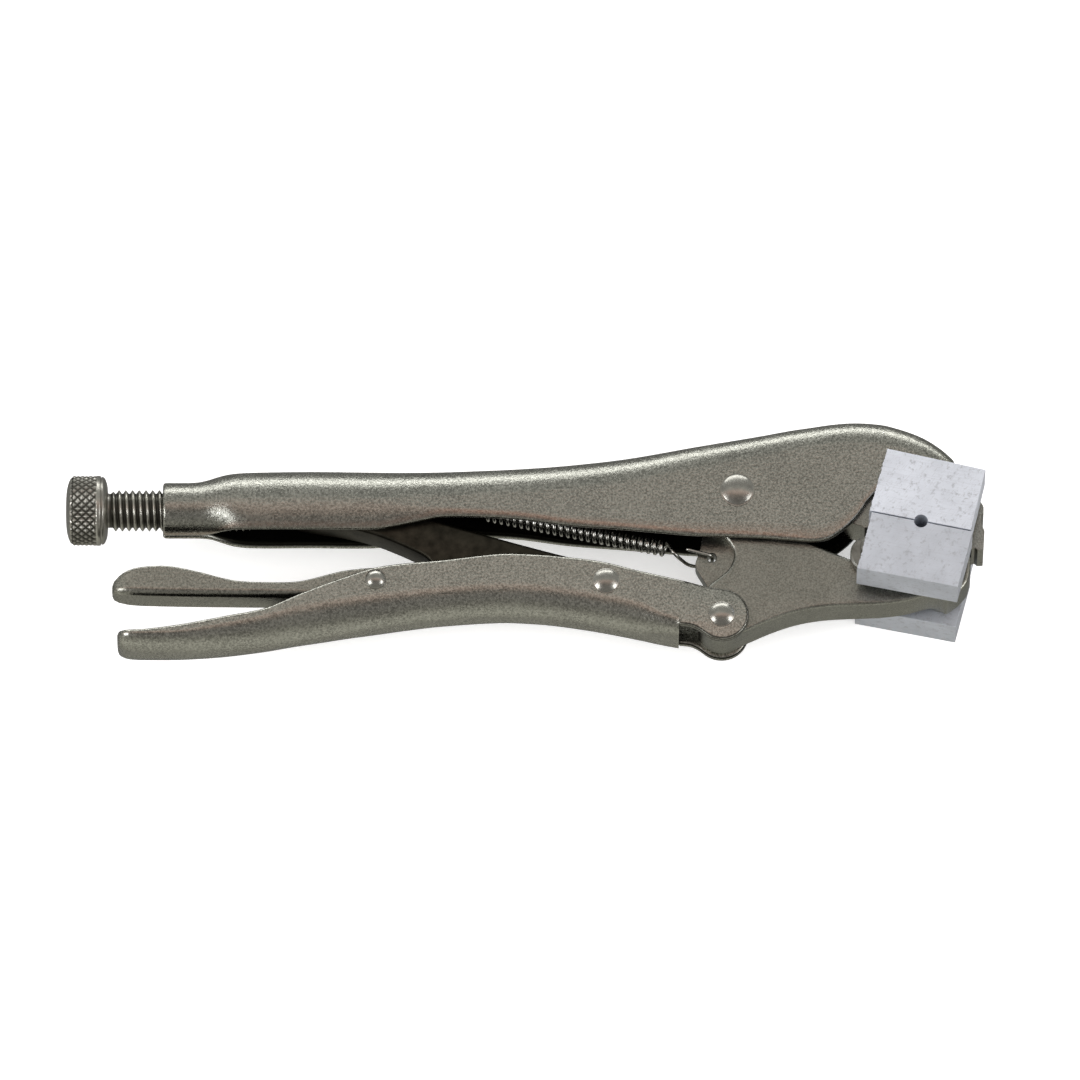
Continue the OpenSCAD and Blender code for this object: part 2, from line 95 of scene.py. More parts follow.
# ---- Section tables: the CAD source's, a few hundredths of a mm inside its extremes -----
# x, top y, lip y, half width, top corner radius across and down, lip curl angle, lip bend
# radius, thickness
UPPER = [
    [26.2, 7.5, -7.5, 7.5, 7.44, 7.44, 88.6, 7.44, 1.9],
    [33, 7.5, -7.5, 7.5, 7.44, 7.44, 88.6, 7.44, 1.9],
    [36, 7.69, -7.5, 7.55, 7.44, 7.5, 88.2, 7.44, 1.9],
    [38.6, 8.26, -7.6, 7.9, 7.6, 7.7, 84, 7.6, 1.95],
    [40.8, 8.9, -7.8, 8.6, 8.1, 8.2, 72, 8.2, 2.1], [43, 9.46, -8, 9.3, 8.7, 8.9, 55, 9.8, 2.3],
    [45.4, 9.83, -8.15, 9.8, 9.1, 9.6, 40, 12.5, 2.5],
    [50, 10.14, -8.28, 10, 9.3, 10.3, 30, 15.7, 2.5],
    [66, 10.37, -8.28, 10, 9.3, 10.3, 30, 15.7, 2.5],
    [84, 10.16, -8.28, 10, 9.3, 10.3, 30, 15.7, 2.5],
    [90, 10.12, -7.3, 9.7, 9, 10, 30, 13, 2.5], [96, 10.19, -6, 9.3, 8.6, 9.6, 30, 9, 2.5],
    [102, 10.32, -4.9, 9, 8.3, 9.4, 30, 6, 2.5], [114, 10.7, -5.1, 9, 8, 9.2, 30, 4.5, 2.5],
    [123, 11.1, -5.7, 9, 7.8, 9.2, 30, 4.5, 2.5], [135.5, 12.01, -7.4, 9, 7.6, 9, 28, 4.5, 2.5],
    [151.5, 13.86, -8.7, 9, 7.3, 8.8, 26, 4.5, 2.5],
    [170, 17.08, -10.3, 9, 6.6, 8.2, 25, 4.5, 2.5],
    [187, 19.91, -10.95, 9, 6, 7.6, 25, 4.5, 2.5], [196, 21.65, -11.6, 9, 6, 7.5, 24, 4.4, 2.5],
    [201.4, 22.48, -11.9, 9, 6, 7.5, 18, 4, 2.5], [206, 23.22, -11, 9, 6, 7.5, 13, 3.6, 2.5],
    [211, 23.72, -7.4, 9, 6, 7.5, 12, 3.5, 2.5], [214, 23.76, -4, 9, 6, 7.5, 12, 3.5, 2.5],
    [217.2, 23.6, 0.7, 9, 6, 7.5, 12, 3.5, 2.5], [222, 22.91, 4.4, 9, 6, 7.4, 12, 3.5, 2.5],
    [230.6, 19.76, 6.4, 9, 5.6, 6.8, 12, 3.5, 2.5], [236, 16.13, 6.6, 9, 5, 5.8, 12, 3.5, 2.5],
    [240, 12.3, 5.6, 8.9, 4.4, 4.8, 12, 3.5, 2.5]]

# x, web y, wall top y, half width, corner radius across and up
LOWER = [
    [14.1, -39.6, -36.9, 5.4, 3.4, 1.9], [14.6, -40.2, -36.9, 6.8, 4.6, 2.5],
    [15.8, -40.88, -36.9, 8.1, 6, 3.2], [18, -41.26, -37, 8.9, 7, 3.5],
    [22, -41.5, -36.8, 9, 7.5, 3.8], [30, -41.58, -35.75, 9, 7.8, 4.2],
    [36.2, -41.46, -34.6, 9, 8, 5], [44, -40.98, -33, 9, 8.3, 6],
    [53.7, -39.78, -31, 9, 8.5, 7], [62, -38.37, -27.4, 9, 8.6, 8],
    [68.6, -37.32, -24.6, 9, 8.4, 8.3], [75, -36.14, -22.2, 9, 8, 8.2],
    [83.4, -34.82, -19.4, 9, 7.6, 8], [92, -33.48, -18.1, 9, 7.4, 7.6],
    [101, -32.31, -17.3, 9, 7.3, 7.4], [117, -31.21, -15.4, 9, 7.2, 7.4],
    [125, -31.45, -15.5, 9, 7.2, 7.4], [133, -32.2, -16.1, 9, 7.2, 7.4],
    [144, -33.95, -17.5, 9, 7.2, 7.3], [155, -36.13, -20.3, 9, 7, 7],
    [160, -36.7, -21.5, 9, 5, 5], [165.4, -37.47, -22.8, 9, 4, 4]]

RELEASE = [
    [12.6, -24.4, -22.4, 2.6, 1, 1], [13.4, -25, -21.2, 4, 1.4, 1.4],
    [15.9, -25.5, -19.4, 5.2, 1.8, 1.8], [19, -25.8, -18.3, 5.7, 2, 2],
    [25, -26, -17.7, 5.75, 2, 2], [29.4, -26.1, -18, 5.75, 2, 2],
    [36.2, -26.2, -19.5, 5.75, 2, 2], [45.6, -26.3, -21.9, 5.75, 2, 2],
    [55, -26.4, -22.4, 5.75, 2, 2], [62.6, -26.5, -22.2, 5.75, 2, 2],
    [68, -26.8, -21, 5.75, 2, 2], [74.8, -27.3, -19.2, 5.75, 2, 2],
    [83.7, -27.9, -18.3, 5.75, 2, 2], [91, -27.4, -18.8, 5.75, 2, 2],
    [95.5, -25.8, -20, 5.75, 2, 2]]


# ---- Materials ------------------------------------------------------------------------
class Nodes:
    """A small helper that adds and links shader nodes."""

    def __init__(self, name):
        self.material = bpy.data.materials.new(name)
        self.material.use_nodes = True
        self.tree = self.material.node_tree
        self.shader = self.tree.nodes["Principled BSDF"]

    def add(self, kind, **values):
        node = self.tree.nodes.new(kind)
        for key, value in values.items():
            setattr(node, key, value)
        return node

    def link(self, source, target):
        self.tree.links.new(source, target)

    def place(self, scale=(1, 1, 1), turn=0.0):
        """Object coordinates in millimetres, turned about z and stretched."""
        where = self.add("ShaderNodeTexCoord")
        mapping = self.add("ShaderNodeMapping", vector_type="TEXTURE")
        mapping.inputs["Rotation"].default_value = (0, 0, turn)
        mapping.inputs["Scale"].default_value = [MM * s for s in scale]
        self.link(where.outputs["Object"], mapping.inputs["Vector"])
        return mapping.outputs["Vector"]

    def noise(self, vector, size, detail=2.0, rough=0.5):
        """Noise whose features are about size millimetres across."""
        node = self.add("ShaderNodeTexNoise")
        node.inputs["Scale"].default_value = 1.0 / size
        node.inputs["Detail"].default_value = detail
        node.inputs["Roughness"].default_value = rough
        self.link(vector, node.inputs["Vector"])
        return node.outputs["Fac"]

    def ranged(self, value, lo, hi, to_lo, to_hi):
        """The value moved from one range to another, and held inside it."""
        node = self.add("ShaderNodeMapRange")
        for key, number in (("From Min", lo), ("From Max", hi),
                            ("To Min", to_lo), ("To Max", to_hi)):
            node.inputs[key].default_value = number
        self.link(value, node.inputs["Value"])
        return node.outputs["Result"]

    def math(self, op, a, b):
        node = self.add("ShaderNodeMath", operation=op)
        for socket, value in zip(node.inputs, (a, b)):
            if isinstance(value, (int, float)):
                socket.default_value = value
            else:
                self.link(value, socket)
        return node.outputs["Value"]

    def mix(self, factor, a, b):
        """Colour a where the factor is 0 and colour b where it is 1."""
        node = self.add("ShaderNodeMix", data_type="RGBA")
        if isinstance(factor, float):
            node.inputs["Factor"].default_value = factor
        else:
            self.link(factor, node.inputs["Factor"])
        for socket, value in ((node.inputs[6], a), (node.inputs[7], b)):
            if isinstance(value, tuple):
                socket.default_value = (*value, 1.0)
            else:
                self.link(value, socket)
        return node.outputs[2]

    def bump(self, height, strength, depth, below=None):
        """Bump of that depth in millimetres, on top of another one."""
        node = self.add("ShaderNodeBump")
        node.inputs["Strength"].default_value = strength
        node.inputs["Distance"].default_value = depth * MM
        self.link(height, node.inputs["Height"])
        if below is not None:
            self.link(below, node.inputs["Normal"])
        return node.outputs["Normal"]

    def attribute(self, name):
        return self.add("ShaderNodeAttribute", attribute_name=name).outputs["Fac"]

    def finish(self, colour, roughness, normal, metallic=1.0):
        """Links the finished maps to the shader and gives the material."""
        self.link(colour, self.shader.inputs["Base Color"])
        self.link(roughness, self.shader.inputs["Roughness"])
        self.link(normal, self.shader.inputs["Normal"])
        self.shader.inputs["Metallic"].default_value = metallic
        return self.material


# Colour of the painted reflection of a warm reflector along the sheets' lips
PAINTED_COPPER_REFLECTION = (0.56, 0.34, 0.25)
# Near black, for the painted shade inside the bent sheets
INSIDE_PAINTED_SHADE = (0.02, 0.019, 0.015)


def nickel(name, dark, light, roughness, grain, warm_reflection=0.0):
    """Satin nickel plate over tumbled steel, speckled by its fine orange-peel grain, with a painted
    coppery reflection along its lips, and dull inside the bent sheet, where painted shade darkens
    its inner skin."""
    n = Nodes(name)
    vector = n.place()
    speck = n.noise(vector, 0.55, 3.0, 0.75)
    peel = n.noise(vector, 0.95, 2.0, 0.55)
    cloud = n.noise(vector, 14.0, 4.0, 0.6)
    tone = n.ranged(speck, 0.36, 0.64, 0.0, 1.0)
    tone = n.math("ADD", n.math("MULTIPLY", tone, 0.75), n.math("MULTIPLY", cloud, 0.25))
    colour = n.mix(tone, dark, light)
    if warm_reflection:
        near_lip = n.math("MULTIPLY", n.attribute("warm_reflection"), n.ranged(peel, 0.3, 0.7, 0.6, 1.0))
        # Painted reflection: a mottled coppery streak mixed into the colour near the lips
        colour = n.mix(n.math("MULTIPLY", near_lip, warm_reflection), colour, PAINTED_COPPER_REFLECTION)
    # Painted shade: the inner skin is darkened to near black for the shade inside the channel, and it
    # is also rougher
    inside = n.attribute("inner")
    colour = n.mix(inside, colour, INSIDE_PAINTED_SHADE)
    rough = n.math("ADD", n.ranged(cloud, 0.3, 0.7, roughness - 0.04, roughness + 0.04),
                   n.ranged(speck, 0.3, 0.7, -0.05, 0.05))
    rough = n.math("ADD", rough, n.math("MULTIPLY", inside, 0.25))
    waves = n.bump(peel, 0.35 * grain, 0.14)
    return n.finish(colour, rough, n.bump(speck, 0.7 * grain, 0.1, waves))


def ground_steel(name, dark, light, roughness):
    """Plated forging with rough grinding marks under the speckle."""
    n = Nodes(name)
    vector = n.place()
    strokes = n.noise(n.place((6.0, 0.5, 1.0), math.radians(-28)), 1.0, 3.0, 0.6)
    speck = n.noise(vector, 0.4, 2.0, 0.6)
    cloud = n.noise(vector, 9.0, 4.0, 0.6)
    tone = n.math("ADD", n.math("MULTIPLY", n.ranged(speck, 0.36, 0.64, 0.0, 1.0), 0.5),
                  n.math("MULTIPLY", cloud, 0.5))
    rough = n.ranged(cloud, 0.3, 0.7, roughness - 0.06, roughness + 0.06)
    marks = n.bump(strokes, 0.35, 0.12)
    return n.finish(n.mix(tone, dark, light), rough, n.bump(speck, 0.6, 0.09, marks))


def smooth_steel(name, dark, light, roughness, grain):
    """Turned, drawn or pressed steel with fine marks."""
    n = Nodes(name)
    vector = n.place()
    fine = n.noise(vector, 0.5, 3.0, 0.6)
    cloud = n.noise(vector, 3.0, 3.0, 0.6)
    colour = n.mix(n.ranged(cloud, 0.3, 0.7, 0.0, 1.0), dark, light)
    rough = n.ranged(fine, 0.3, 0.7, roughness - 0.06, roughness + 0.06)
    return n.finish(colour, rough, n.bump(fine, grain, 0.05))


def groove_shaded_steel(name, dark, light, roughness):
    """Plated steel, dull in its grooves and lighter on its crests, with painted shade darkening the
    grooves.
    """
    n = Nodes(name)
    vector = n.place()
    fine = n.noise(vector, 0.5, 3.0, 0.6)
    # Painted shade: the colour runs from near black in the grooves to light on the crests
    crest = n.math("MULTIPLY", n.attribute("crest"), n.ranged(fine, 0.3, 0.7, 0.75, 1.1))
    rough = n.ranged(crest, 0.0, 1.0, roughness + 0.15, roughness)
    return n.finish(n.mix(crest, dark, light), rough, n.bump(fine, 0.3, 0.05))


def aluminium(name, turn, tone):
    """Pale aluminium with faint grain along the parting line, scratches and smudges."""
    n = Nodes(name)
    vector = n.place()
    grain = n.noise(n.place((12.0, 0.3, 0.3), turn), 1.0, 4.0, 0.65)
    broad = n.noise(vector, 11.0, 3.0, 0.6)
    scratch = n.noise(n.place((1.8, 0.16, 0.3), turn + math.radians(62)), 1.0, 2.0, 0.5)
    smudge = n.noise(vector, 1.5, 5.0, 0.7)
    pale = tuple(tone * c for c in (0.77, 0.81, 0.89))
    grey = tuple(tone * c for c in (0.67, 0.705, 0.775))
    colour = n.mix(n.ranged(broad, 0.35, 0.65, 0.0, 1.0), grey, pale)
    colour = n.mix(n.ranged(grain, 0.52, 0.7, 0.0, 0.34), colour, (0.5, 0.5, 0.54))
    colour = n.mix(n.ranged(scratch, 0.62, 0.68, 0.0, 0.45), colour, (0.42, 0.42, 0.45))
    colour = n.mix(n.ranged(smudge, 0.54, 0.66, 0.0, 0.6), colour, (0.36, 0.37, 0.40))
    rough = n.ranged(grain, 0.3, 0.7, 0.46, 0.6)
    low = n.bump(grain, 0.14, 0.05)
    return n.finish(colour, rough, n.bump(smudge, 0.25, 0.1, low), 0.7)


# The line where the upper and lower blocks meet
PARTING_LEFT = (216.6, -8.0)
PARTING_RIGHT = (248.0, -14.46)
SLOPE = (PARTING_RIGHT[1] - PARTING_LEFT[1]) / (PARTING_RIGHT[0] - PARTING_LEFT[0])
TURN = math.atan(SLOPE)

# Its last value, 0.4, is how strong the painted coppery reflection along the lips is
HANDLE = nickel("handle_nickel", (0.15, 0.152, 0.135), (0.66, 0.665, 0.61), 0.25, 1.0, 0.4)
LEVER = nickel("lever_nickel", (0.17, 0.17, 0.15), (0.70, 0.70, 0.64), 0.25, 0.85)
PADDLE = nickel("release_nickel", (0.17, 0.17, 0.15), (0.60, 0.60, 0.54), 0.28, 0.7)
JAW = ground_steel("jaw_steel", (0.17, 0.172, 0.15), (0.54, 0.545, 0.495), 0.32)
RIVET = smooth_steel("rivet_steel", (0.34, 0.335, 0.31), (0.52, 0.515, 0.475), 0.27, 0.25)
BLOCK = aluminium("block_aluminium", TURN, 1.0)
# Painted shade: the lower blocks are the same aluminium, darkened to 0.76 of its tone for the shade
# they lie in
LOWER_BLOCK_SHADED = aluminium("block_aluminium_lower_painted_shade", TURN, 0.76)
SPACER = smooth_steel("spacer_steel", (0.22, 0.22, 0.2), (0.42, 0.42, 0.39), 0.38, 0.25)
SPRING = smooth_steel("spring_steel", (0.40, 0.40, 0.37), (0.72, 0.72, 0.69), 0.24, 0.2)
# Painted shade: the toggle link is coloured near black for the deep shade it lies in between the
# handles
LINK_SHADE_STEEL = smooth_steel("link_steel", (0.03, 0.028, 0.022), (0.07, 0.064, 0.05), 0.42, 0.5)
# The screw's grooves carry painted shade
KNOB = groove_shaded_steel("screw_steel", (0.08, 0.078, 0.068), (0.66, 0.65, 0.60), 0.27)


# ---- Mesh helpers -----------------------------------------------------------------------
# How strongly a large face pulls the normals of its edges, 50 being neutral
FACE_WEIGHT = 80
# Points along a half section's lip, wall, corner and crown
LIP_STEPS, WALL_STEPS, CORNER_STEPS, CROWN_STEPS = 12, 8, 16, 4
# Steps around a sheet's rounded rim, from its edge to its skin
RIM_TURNS = [math.radians(q) for q in (90, 60, 30)]
# Where the painted coppery reflection lies, from the lip along the skin, and how wide it is
REFLECTION_AT, REFLECTION_SPREAD = 1.5, 0.8


def placed(points):
    """Drawing millimetres to the row frame's metres."""
    return ORIGIN + np.asarray(points, float) * MM


def new_mesh(name, points, faces):
    """An object in drawing millimetres, with its faces turned outwards."""
    mesh = bpy.data.meshes.new(name)
    mesh.from_pydata([tuple(map(float, p)) for p in points], [], faces)
    bm = bmesh.new()
    bm.from_mesh(mesh)
    bmesh.ops.recalc_face_normals(bm, faces=bm.faces)
    bm.to_mesh(mesh)
    bm.free()
    obj = bpy.data.objects.new(name, mesh)
    bpy.context.scene.collection.objects.link(obj)
    return obj


def combine(obj, other, how):
    """Joins another object to obj, or cuts it away, and removes the other."""
    tool = obj.modifiers.new("combine", "BOOLEAN")
    tool.operation, tool.solver, tool.object = how, "EXACT", other
    bpy.context.view_layer.update()
    made = obj.evaluated_get(bpy.context.evaluated_depsgraph_get())
    mesh = bpy.data.meshes.new_from_object(made)
    obj.modifiers.clear()
    old, obj.data = obj.data, mesh
    mesh.name = obj.name
    bpy.data.meshes.remove(old)
    bpy.data.objects.remove(other)
    return obj


def mark(obj, name, values):
    """Gives each vertex a value that the materials read."""
    attribute = obj.data.attributes.new(name, "FLOAT", "POINT")
    attribute.data.foreach_set("value", values)


def settle(obj, material, body, nodes, sharp=35):
    """Moves the finished mesh into the row frame, gives it its body and finish, and hides the CAD
    parts that it replaces. Edges that turn by more than sharp degrees stay sharp."""
    mesh = obj.data
    points = np.array([v.co for v in mesh.vertices], float)
    mesh.vertices.foreach_set("co", placed(points).astype(np.float32).ravel())
    mesh.shade_smooth()
    mesh.set_sharp_from_angle(angle=math.radians(sharp))
    mesh.materials.clear()
    mesh.materials.append(material)
    mesh.update()
    if body:
        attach(obj, body)
    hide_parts(*nodes)
    return obj


def weighted(obj):
    """Large flat faces keep their own normal next to rounded edges."""
    made = obj.modifiers.new("normals", "WEIGHTED_NORMAL")
    made.keep_sharp = True
    made.weight = FACE_WEIGHT
    return obj


def smooth(table, k, x):
    """Smooth value of column k of a section table at x."""
    i = 0
    while i < len(table) - 2 and x >= table[i + 1][0]:
        i += 1

    def tangent(j):
        a, b = table[max(j - 1, 0)], table[min(j + 1, len(table) - 1)]
        return (b[k] - a[k]) / (b[0] - a[0])

    h = table[i + 1][0] - table[i][0]
    u = (x - table[i][0]) / h
    return ((2 * u**3 - 3 * u**2 + 1) * table[i][k] + (u**3 - 2 * u**2 + u) * h * tangent(i)
            + (3 * u**2 - 2 * u**3) * table[i + 1][k] + (u**3 - u**2) * h * tangent(i + 1))


def channel_half(top, lip, w, wide, down, curl, lip_r, t, rim, inset):
    """Half of a bent sheet's section from the lip to the crown: outer and inner (z, y) rows,
    with rounded lips, and how near to the lip each outer point is."""
    c = math.radians(curl)
    lip_y = lip + lip_r * math.sin(c)
    wall = max(top - down - lip_y, 0.02)
    ends = np.cumsum([lip_r * c, wall, (wide + down) * math.pi / 4, w - wide])

    def at(s, depth):
        """The point that far along the section and that deep under the outer skin."""
        if s < ends[0]:
            a = -c + s / lip_r
            return w - lip_r + (lip_r - depth) * math.cos(a), lip_y + (lip_r - depth) * math.sin(a)
        if s < ends[1]:
            return w - depth, lip_y + s - ends[0]
        if s < ends[2]:
            a = math.pi / 2 * (s - ends[1]) / (ends[2] - ends[1])
            return w - wide + (wide - depth) * math.cos(a), top - down + (down - depth) * math.sin(a)
        return w - wide - (s - ends[2]), top - depth

    first = max(ends[0], rim + 0.4)
    second = max(ends[1], first + 0.01)
    spots = np.concatenate([np.linspace(rim, first, LIP_STEPS, endpoint=False),
                            np.linspace(first, second, WALL_STEPS, endpoint=False),
                            np.linspace(second, ends[2], CORNER_STEPS, endpoint=False),
                            np.linspace(ends[2], ends[3], CROWN_STEPS)])
    tilt = rim / lip_r - c if rim < ends[0] else 0.0
    nz, ny = math.cos(tilt), math.sin(tilt)
    outer, inner, near = [], [], []
    for a in RIM_TURNS:
        for row, depth, side in ((outer, rim, 1), (inner, t - rim, -1)):
            cz, cy = at(rim, depth)
            k = rim - inset
            row.append((cz + k * (side * math.cos(a) * nz + math.sin(a) * ny),
                        cy + k * (side * math.cos(a) * ny - math.sin(a) * nz)))
        near.append(0.0)
    for s in spots:
        outer.append(at(s, inset))
        inner.append(at(s, t - inset))
        near.append(s)
    return outer, inner, near


def bent_sheet(name, table, section, step, rim, flip=1, round_ends=(True, True)):
    """A bent sheet lofted along x. section(x) gives channel_half's values but rim and inset.
    flip -1 turns the open side up."""
    x0, x1 = table[0][0], table[-1][0]
    count = int(math.ceil((x1 - x0) / step))
    stations = []
    if round_ends[0]:
        stations += [(x0 + rim * (1 - math.sin(q)), rim * (1 - math.cos(q))) for q in RIM_TURNS]
    lo = x0 + (rim if round_ends[0] else 0)
    hi = x1 - (rim if round_ends[1] else 0)
    stations += [(lo + (hi - lo) * i / count, 0.0) for i in range(count + 1)]
    if round_ends[1]:
        stations += [(x1 - rim * (1 - math.sin(q)), rim * (1 - math.cos(q)))
                     for q in RIM_TURNS[::-1]]
    points, near_lip = [], []
    for x, inset in stations:
        values = section(x)
        edge = min(rim, 0.45 * values[-1])
        outer, inner, near = channel_half(*values, edge, min(inset, 0.9 * edge))
        ring = outer + [(-z, y) for z, y in outer[-2::-1]]
        back = inner + [(-z, y) for z, y in inner[-2::-1]]
        lips = near + near[-2::-1]
        for z, y in ring + back[::-1]:
            points.append((x, flip * y, z))
        near_lip += lips + lips[::-1]
    m = len(points) // len(stations)
    n = m // 2
    faces = []
    for j in range(len(stations) - 1):
        for i in range(m):
            k = (i + 1) % m
            faces.append((j * m + i, j * m + k, (j + 1) * m + k, (j + 1) * m + i))
    for base, order in ((0, 1), ((len(stations) - 1) * m, -1)):
        for i in range(n - 1):
            quad = (base + i, base + m - 1 - i, base + m - 2 - i, base + i + 1)
            faces.append(quad[::order])
    obj = new_mesh(name, points, faces)
    # Where the painted coppery reflection lies, fading away from the lips
    mark(obj, "warm_reflection", [math.exp(-(((s - REFLECTION_AT) / REFLECTION_SPREAD) ** 2)) for s in near_lip])
    # The inner skin, which the nickel darkens with painted shade
    mark(obj, "inner", ([0.0] * n + [1.0] * n) * len(stations))
    return obj


def eased(outline, share=0.5, steps=6):
    """A closed outline with its corners eased. A point's third value is its own share of the
    edges beside it that the curve takes, and 0 keeps it sharp."""
    made = []
    count = len(outline)
    for i, p in enumerate(outline):
        k = p[2] if len(p) > 2 else share
        here = np.array(p[:2], float)
        before = np.array(outline[i - 1][:2], float)
        after = np.array(outline[(i + 1) % count][:2], float)
        if k <= 0:
            made.append(here)
            continue
        a, b = here + (before - here) * k, here + (after - here) * k
        for j in range(steps + 1):
            u = j / steps
            made.append((1 - u) ** 2 * a + 2 * u * (1 - u) * here + u * u * b)
    kept = []
    for p in made:
        if not kept or np.linalg.norm(p - kept[-1]) > 0.02:
            kept.append(p)
    if np.linalg.norm(kept[0] - kept[-1]) < 0.02:
        kept.pop()
    return kept


def arc(centre, r, start, end, steps):
    """Points of an arc, in degrees, kept as sharp points of an outline."""
    return [(centre[0] + r * math.cos(math.radians(start + (end - start) * i / steps)),
             centre[1] + r * math.sin(math.radians(start + (end - start) * i / steps)), 0)
            for i in range(steps + 1)]


def hole(centre, r, steps=40):
    """A round hole's loop, clockwise."""
    return [np.array([centre[0] + r * math.cos(-2 * math.pi * i / steps),
                      centre[1] + r * math.sin(-2 * math.pi * i / steps)]) for i in range(steps)]


def offset(loop, d):
    """The loop moved into the material by d, which lies on its left."""
    made = []
    count = len(loop)
    for i in range(count):
        e1 = loop[i] - loop[i - 1]
        e2 = loop[(i + 1) % count] - loop[i]
        n1 = np.array([-e1[1], e1[0]]) / np.linalg.norm(e1)
        n2 = np.array([-e2[1], e2[0]]) / np.linalg.norm(e2)
        made.append(loop[i] + d * (n1 + n2) / max(1 + n1 @ n2, 0.35))
    return made


def edge_profile(r, steps=4):
    """Inset and drop from a plate's face to its side for a rounded edge."""
    return [(r * (1 - math.sin(a)), r * (1 - math.cos(a)))
            for a in [math.pi / 2 * i / steps for i in range(steps + 1)]]


def plate(name, loops, z0, z1, profile):
    """A flat solid between two heights from an outer loop and holes, with shaped edges."""
    levels = [(inset, z1 - drop) for inset, drop in profile]
    levels += [(inset, z0 + drop) for inset, drop in profile[::-1]]
    points, faces, caps = [], [], ([], [])
    for loop in loops:
        loop = [np.array(p[:2], float) for p in loop]
        count = len(loop)
        first = len(points)
        for inset, z in levels:
            points += [(p[0], p[1], z) for p in (offset(loop, inset) if inset else loop)]
        for j in range(len(levels) - 1):
            for i in range(count):
                k = (i + 1) % count
                a = first + j * count
                faces.append((a + i, a + count + i, a + count + k, a + k))
        caps[0].append(list(range(first, first + count)))
        last = first + (len(levels) - 1) * count
        caps[1].append(list(range(last, last + count)))
    for side, cap in enumerate(caps):
        flat = [i for loop in cap for i in loop]
        rings = [[Vector((*points[i][:2], 0)) for i in loop] for loop in cap]
        for tri in tessellate_polygon(rings):
            a, b, c = (flat[i] for i in tri)
            faces.append((a, b, c) if side == 0 else (a, c, b))
    return new_mesh(name, points, faces)


def turned(name, profile, around, axis="x", centre=(0, 0, 0), shape=None):
    """A turned solid from (along, radius) pairs whose ends are on the axis. shape(along, angle,
    radius) may change the radius."""
    rows = [p for p in profile if p[1] > 0]
    points = []
    for along, r in rows:
        for i in range(around):
            a = 2 * math.pi * i / around
            q = shape(along, a, r) if shape else r
            points.append((along, q * math.cos(a), q * math.sin(a)))
    faces = [(j * around + i, j * around + (i + 1) % around,
              (j + 1) * around + (i + 1) % around, (j + 1) * around + i)
             for j in range(len(rows) - 1) for i in range(around)]
    for along, base, order in ((profile[0][0], 0, 1),
                               (profile[-1][0], (len(rows) - 1) * around, -1)):
        points.append((along, 0, 0))
        pole = len(points) - 1
        faces += [(pole, base + (i + 1) % around, base + i)[::order] for i in range(around)]
    if axis == "z":
        points = [(y, z, x) for x, y, z in points]
    return new_mesh(name, [np.add(p, centre) for p in points], faces)


def wire(name, path, r, sides=10):
    """A round wire swept along a path, with a frame carried from point to point."""
    path = [np.array(p, float) for p in path]
    points = []
    last = len(path) - 1
    side = None
    for i, p in enumerate(path):
        t = path[min(i + 1, last)] - path[max(i - 1, 0)]
        t /= np.linalg.norm(t)
        side = np.cross(t, (0.13, 0.31, 0.94)) if side is None else side - t * (side @ t)
        side /= np.linalg.norm(side)
        other = np.cross(t, side)
        end = 0.6 if i in (0, last) else 1.0
        for k in range(sides):
            a = 2 * math.pi * k / sides
            points.append(p + end * r * (math.cos(a) * side + math.sin(a) * other))
    faces = [(i * sides + k, i * sides + (k + 1) % sides,
              (i + 1) * sides + (k + 1) % sides, (i + 1) * sides + k)
             for i in range(last) for k in range(sides)]
    faces.append(tuple(range(sides))[::-1])
    faces.append(tuple(last * sides + k for k in range(sides)))
    return new_mesh(name, points, faces)


CURVE_STEPS = 6


def through(path, steps=CURVE_STEPS):
    """A smooth curve through the points."""
    pts = [np.array(p, float) for p in path]
    pts = [2 * pts[0] - pts[1]] + pts + [2 * pts[-1] - pts[-2]]
    made = []
    for i in range(1, len(pts) - 2):
        a, b, c, d = pts[i - 1:i + 3]
        for j in range(steps):
            u = j / steps
            made.append(0.5 * (2 * b + (c - a) * u + (2 * a - 5 * b + 4 * c - d) * u**2
                               + (3 * b - a - 3 * c + d) * u**3))
    made.append(pts[-2])
    return made


# ---- Handles ----------------------------------------------------------------------------
UPPER_BODY = "upper_handle_assembly"
JAW_BODY = "lower_jaw_assembly"
LEVER_BODY = "lower_handle_assembly"


def upper_section(x):
    """Section of the upper handle's channel, open downwards."""
    return [smooth(UPPER, k, x) for k in range(1, 9)]


def open_section(table, t):
    """Section of a channel open upwards, drawn upside down as bent_sheet wants it."""
    def values(x):
        down = smooth(table, 5, x)
        return [-smooth(table, 1, x), -smooth(table, 2, x), smooth(table, 3, x),
                smooth(table, 4, x), down, 0.0, down, min(t, down - 0.2)]
    return values


# Spacing of the sections along the sheets, and the rounding of their rims
SECTION_STEP = 1.3
RIM = 0.8
PADDLE_RIM = 0.55
PADDLE_T = 1.6
# Edges of the sheets that turn by more degrees than this stay sharp
SHEET_SHARP = 42

upper = bent_sheet("upper_handle_shell", UPPER, upper_section, SECTION_STEP, RIM)
# The tab under the crown that the spring's front hook goes through
TAB_HALF = 0.9
TAB_EYE = (110, 3)
tab = plate("tab", [eased([(107.6, 10, 0), (107.6, 2.4, 0.3), (109, 1.1, 0.4), (111, 1.1, 0.4),
                           (112.4, 2.4, 0.3), (112.4, 10, 0)])], -TAB_HALF, TAB_HALF,
            edge_profile(0.3, 2))
tab = combine(tab, plate("eye", [hole(TAB_EYE, 1.3)[::-1]], -2, 2, [(0, 0)]), "DIFFERENCE")
upper = combine(upper, tab, "UNION")
settle(upper, HANDLE, UPPER_BODY, ["upper_handle"], SHEET_SHARP)

lower = bent_sheet("lower_handle_shell", LOWER, open_section(LOWER, SHEET_T), SECTION_STEP, RIM,
                   flip=-1, round_ends=(True, False))
EAR_R = 7.25
